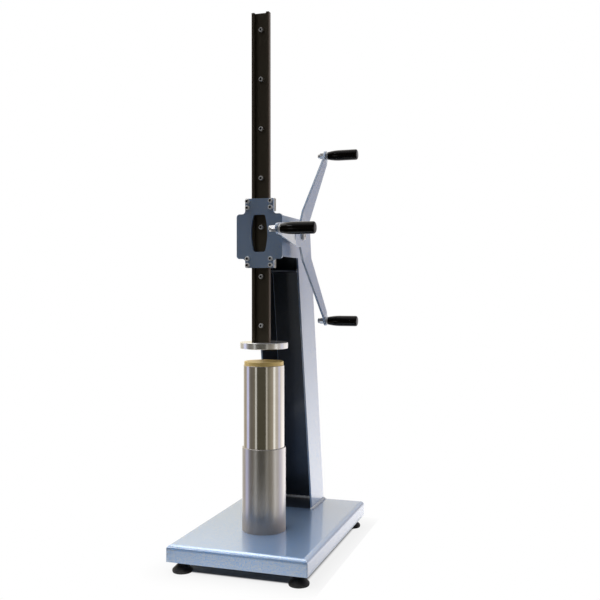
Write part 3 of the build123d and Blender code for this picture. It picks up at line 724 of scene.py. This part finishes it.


# Support sleeve: a thick turned steel tube that stands on the tray and takes the sampling
# tube in a counterbore at its top. Its lathe marks still show, and it is darker, warmer and
# rougher towards its foot.
sleeve_steel, shader, place = finish("turned_sleeve_steel")
marks = turning_marks(place, 0.0006)
cast = place.noise(22.0, 4.0, 0.6)
axes = place.node("ShaderNodeSeparateXYZ", None, {0: place})
height = Wire(place.tree, axes.socket.node.outputs[2])
# Darker and warmer below these heights, and rougher too.
darker_below, warmer_below = 0.135, 0.105
darker_foot = (darker_below - height).eased(0.0, 0.06)
warmer_foot = (warmer_below - height).eased(0.0, 0.035)
bright = (cast * 0.8 + marks * 0.2).tint(rgb(0.57, 0.55, 0.54), rgb(0.75, 0.73, 0.71))
foot = warmer_foot.tint(rgb(0.46, 0.44, 0.43), rgb(0.58, 0.51, 0.45))
feed(shader, {
    "Base Color": darker_foot.tint(bright, foot),
    "Metallic": 1.0,
    "Roughness": 0.27 + marks * 0.03 + cast * 0.06 + warmer_foot * 0.2,
    "Normal": marks.relief(0.02, 0.00001),
})
sleeve_low, sleeve_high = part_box("support_sleeve")
base, top = sleeve_low.z / MM, sleeve_high.z / MM
bore_radius, seat_radius, outer_radius, seat_depth = 43.8, 45.5, 48.0, 50.0
outline = rounded([
    (bore_radius, base, 0), (outer_radius, base, 0.6), (outer_radius, top, 0.7),
    (seat_radius, top, 0.5), (seat_radius, top - seat_depth, 0.3),
    (bore_radius, top - seat_depth, 0.3), (bore_radius, base + 1.0, 0)], 3)
work = bmesh.new()
spin(work, outline, Matrix.Scale(MM, 4), 192, closed=True)
mount(piece_from(work, "sleeve_turned", sleeve_steel), "sampler", "raw_steel", "support_sleeve")


# Sampling tube: thin drawn stainless tube, polished outside, standing in the sleeve with its
# cutting end up.
stainless, shader, place = finish("polished_stainless")
drawn = place.stretched((240.0, 240.0, 6.0)).noise(1.0, 2.0)
hoops = place.stretched((8.0, 8.0, 900.0)).noise(1.0, 3.0)
smear = place.noise(30.0, 4.0, 0.6)
feed(shader, {
    "Base Color": smear.tint(rgb(0.62, 0.59, 0.54), rgb(0.76, 0.735, 0.69)),
    "Metallic": 1.0,
    "Roughness": 0.07 + hoops * 0.05 + smear * 0.05,
    "Normal": drawn.relief(0.1, 0.00005),
})
tube_low, tube_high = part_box("sample_tube")
base, top = tube_low.z / MM, tube_high.z / MM
bore_radius, outer_radius = 43.5, 45.3
outline = rounded([
    (bore_radius, base + 1.0, 0), (bore_radius, base, 0.4), (outer_radius, base, 0.4),
    (outer_radius, top, 0.6), (bore_radius, top, 0.6), (bore_radius, base + 2.0, 0)], 3)
work = bmesh.new()
spin(work, outline, Matrix.Scale(MM, 4), 192, closed=True)
mount(piece_from(work, "tube_polished", stainless), "sampler", "polished_steel", "sample_tube")


# Ejector piston: a turned brass disc that fills the tube's bore and stands a little proud of
# it, under the pressing disc.
brass, shader, place = finish("turned_brass")
marks = turning_marks(place, 0.0012)
tarnish = place.noise(35.0, 4.0, 0.6)
feed(shader, {
    "Base Color": tarnish.tint(rgb(1.0, 0.71, 0.24), rgb(1.0, 0.81, 0.37)),
    "Metallic": 0.35,
    "Roughness": 0.34 + marks * 0.14,
    "Normal": marks.relief(0.1, 0.00004),
})
piston_low, piston_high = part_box("ejector_piston")
base, top = piston_low.z / MM, piston_high.z / MM
radius, groove_radius = 43.2, 42.4
outline = rounded([
    (0.0, base, 0), (radius, base, 0.8), (radius, base + 4.0, 0.2),
    (groove_radius, base + 4.6, 0.2), (groove_radius, base + 6.4, 0.2),
    (radius, base + 7.0, 0.2), (radius, top, 0.9), (0.0, top, 0)], 3)
work = bmesh.new()
spin(work, outline, Matrix.Scale(MM, 4), 192)
mount(piece_from(work, "piston_turned", brass), "piston", "brass", "ejector_piston")


# Studio: a white sheet on the floor, white surroundings with a dark room behind the camera,
# a lamp and a light panel over the tray, and the camera where the photo was taken.
towards_camera = (0.309, -0.951, 0.0)
to_the_right = (0.951, 0.309, 0.0)
to_the_softbox = (-0.35, 0.35, 0.87)
to_the_window = (-0.42, -0.63, 0.653)
to_the_card = (0.25, 0.92, 0.30)
to_the_glare = (0.309, 0.951, 0.0)
world = bpy.data.worlds.new("studio")
scene.world = world
world.use_nodes = True
tree = world.node_tree
way = Wire(tree).node("ShaderNodeTexCoord", out="Generated")


def share_of(way, direction):
    """How far a direction points the same way as another one: 1 along it, 0 across it."""
    return way.node("ShaderNodeVectorMath", {"operation": "DOT_PRODUCT"},
                    {0: way, 1: direction}, "Value")


axes = way.node("ShaderNodeSeparateXYZ", None, {0: way})
rise = Wire(tree, axes.socket.node.outputs[2])
bearing = way.math("ARCTAN2", share_of(way, to_the_right), share_of(way, towards_camera))
bearing = bearing / math.tau + 0.5


def panorama(bearing, levels):
    """Light by bearing in degrees, where 0 is the camera's side and 90 its right."""
    stops = [((degrees + 180) / 360, colour) for degrees, colour in levels]
    return bearing.node("ShaderNodeValToRGB", {"stops": stops}, {0: bearing})


dim = rgb(0.047, 0.045, 0.049)
high_wall = panorama(bearing, [
    (-180, rgb(0.93, 0.86, 0.70)), (-125, rgb(0.94, 0.88, 0.74)), (-95, rgb(0.6, 0.6, 0.62)),
    (-70, dim), (70, dim), (95, rgb(0.38, 0.37, 0.40)), (115, rgb(0.52, 0.49, 0.53)),
    (140, rgb(0.68, 0.64, 0.68)), (165, rgb(0.93, 0.88, 0.82)),
])
dusk = rgb(0.085, 0.078, 0.056)
left_door, right_door = rgb(0.74, 0.77, 1.12), rgb(0.75, 0.75, 0.95)
left_slit, right_slit, far_slit = rgb(0.8, 0.8, 0.78), rgb(0.6, 0.58, 0.53), rgb(1.15, 1.15, 1.12)
low_wall = panorama(bearing, [
    (-180, rgb(1.2, 1.2, 1.2)), (-152, rgb(1.1, 1.1, 1.1)), (-136, rgb(0.46, 0.41, 0.32)),
    (-112, rgb(0.46, 0.41, 0.34)), (-104, left_door), (-92, left_door),
    (-86, rgb(0.3, 0.28, 0.24)), (-75, rgb(0.17, 0.155, 0.14)), (-49, rgb(0.19, 0.17, 0.13)),
    (-45, left_slit), (-40, left_slit), (-36, dusk), (-5, dusk), (12, dusk),
    (15, right_slit), (20, right_slit), (23, rgb(0.2, 0.18, 0.14)), (31, rgb(0.24, 0.22, 0.17)),
    (54, rgb(0.42, 0.37, 0.30)), (59, far_slit), (66, far_slit), (71, rgb(0.62, 0.57, 0.50)),
    (88, rgb(0.62, 0.58, 0.54)), (94, right_door), (103, right_door),
    (110, rgb(0.80, 0.74, 0.66)), (140, rgb(0.95, 0.91, 0.93)),
])
gloom = rgb(0.03, 0.032, 0.04)
pit = panorama(bearing, [
    (-180, rgb(1.2, 1.2, 1.22)), (-120, rgb(0.9, 0.9, 0.95)), (-80, gloom), (80, gloom),
    (115, rgb(1.12, 1.10, 1.12)),
])
studio = rise.eased(-0.42, -0.36).tint(pit, low_wall)
glare = share_of(way, to_the_glare).eased(0.75, 0.95) * (-1.0 * rise).eased(0.02, 0.24)
glare = glare * (rise + 0.36).eased(0.0, 0.10)
studio = glare.tint(studio, rgb(1.55, 1.51, 1.52))
studio = rise.eased(-0.05, 0.01).tint(studio, high_wall)
studio = rise.eased(0.55, 0.8).tint(studio, rgb(0.6, 0.6, 0.62))
studio = share_of(way, to_the_softbox).eased(0.82, 0.88).tint(studio, rgb(1.35, 1.32, 1.28))
studio = share_of(way, to_the_window).eased(0.9960, 0.9982).tint(studio, rgb(7.0, 7.0, 7.2))
studio = share_of(way, to_the_card).eased(0.975, 0.992).tint(studio, rgb(1.0, 1.0, 1.02))
seen = way.node("ShaderNodeLightPath", out="Is Camera Ray")
studio = seen.tint(studio, rgb(1, 1, 1))
tree.links.new(studio.socket, tree.nodes["Background"].inputs["Color"])

floor_paper, shader, place = finish("white_floor")
tree = floor_paper.node_tree
axes = place.node("ShaderNodeSeparateXYZ", None, {0: place})
x, y, _ = (Wire(tree, s) for s in axes.socket.node.outputs)
shadow_middle, shadow_half = (0.0025, 0.077), (0.1275, 0.214)
beside = place.math("ABSOLUTE", x - shadow_middle[0]) - shadow_half[0]
beside = place.math("MAXIMUM", beside, 0.0)
beyond = place.math("ABSOLUTE", y - shadow_middle[1]) - shadow_half[1]
beyond = place.math("MAXIMUM", beyond, 0.0)
away = place.math("SQRT", beside * beside + beyond * beyond)
in_front = (-0.12 - y).eased(0.0, 0.08)
sheet_end = away.eased(0.195, 0.235)
sheet_side = (-0.20 - x).eased(0.0, 0.07)
bare = in_front * place.math("MAXIMUM", sheet_end, sheet_side)
fibre = place.noise(40.0, 2.0)
white = fibre.tint(rgb(0.46, 0.46, 0.45), rgb(0.50, 0.50, 0.49))
feed(shader, {
    "Base Color": bare.tint(white, rgb(0.02, 0.02, 0.02)),
    "Roughness": 0.9,
    "Specular IOR Level": 0.0,
})
seen = place.node("ShaderNodeLightPath", out="Is Camera Ray")
mirrored = place.node("ShaderNodeLightPath", out="Is Glossy Ray")
glow = place.node("ShaderNodeEmission", None, {"Color": rgb(1, 1, 1), "Strength": 1.0})
shade = away.eased(0.0, 0.010) * 0.86 + away.eased(0.02, 0.11) * 0.14
duller = 1.0 - (x - 0.12).eased(0.0, 0.03) * 0.25
share = shade * seen + (1.0 - bare) * away.eased(0.0, 0.05) * duller * mirrored
paper = Wire(tree, shader.outputs[0])
paper = place.node("ShaderNodeMixShader", None, {0: share, 1: paper, 2: glow})
tree.links.new(paper.socket, tree.nodes["Material Output"].inputs["Surface"])
left, right, front, back = -0.36, 0.178, -0.46, 0.37
work = bmesh.new()
corners = ((left, front, 0), (right, front, 0), (right, back, 0), (left, back, 0))
work.faces.new([work.verts.new(corner) for corner in corners])
floor = piece_from(work, "studio_floor", floor_paper)

for name, power, width, depth, spread, place, target, mirrored in (
    ("lamp_over_tray", 0.70, 0.50, 0.25, 60, (-0.08, -0.52, 0.72), (0.0, -0.2, 0.03), False),
    ("panel_over_tray", 2.35, 0.56, 1.40, 110, (-0.50, 0.12, 1.34), (-0.50, 0.12, 0.0), True),
):
    lamp = bpy.data.lights.new(name, "AREA")
    lamp.shape = "RECTANGLE"
    lamp.size = width
    lamp.size_y = depth
    lamp.energy = power
    lamp.spread = math.radians(spread)
    lit = bpy.data.objects.new(name, lamp)
    lit.location = place
    lit.rotation_euler = (Vector(target) - Vector(place)).to_track_quat("-Z", "Y").to_euler()
    lit.visible_camera = False
    lit.visible_glossy = mirrored
    scene.collection.objects.link(lit)

camera = bpy.data.cameras.new("photo_camera")
camera.lens = 48.83
camera.sensor_width = 36.0
viewer = bpy.data.objects.new("photo_camera", camera)
viewer.location = (0.6271, -1.6730, 0.5869)
viewer.rotation_euler = (math.radians(90 - 0.733), 0, math.radians(18.009))
scene.collection.objects.link(viewer)
scene.camera = viewer
scene.view_settings.view_transform = "Standard"
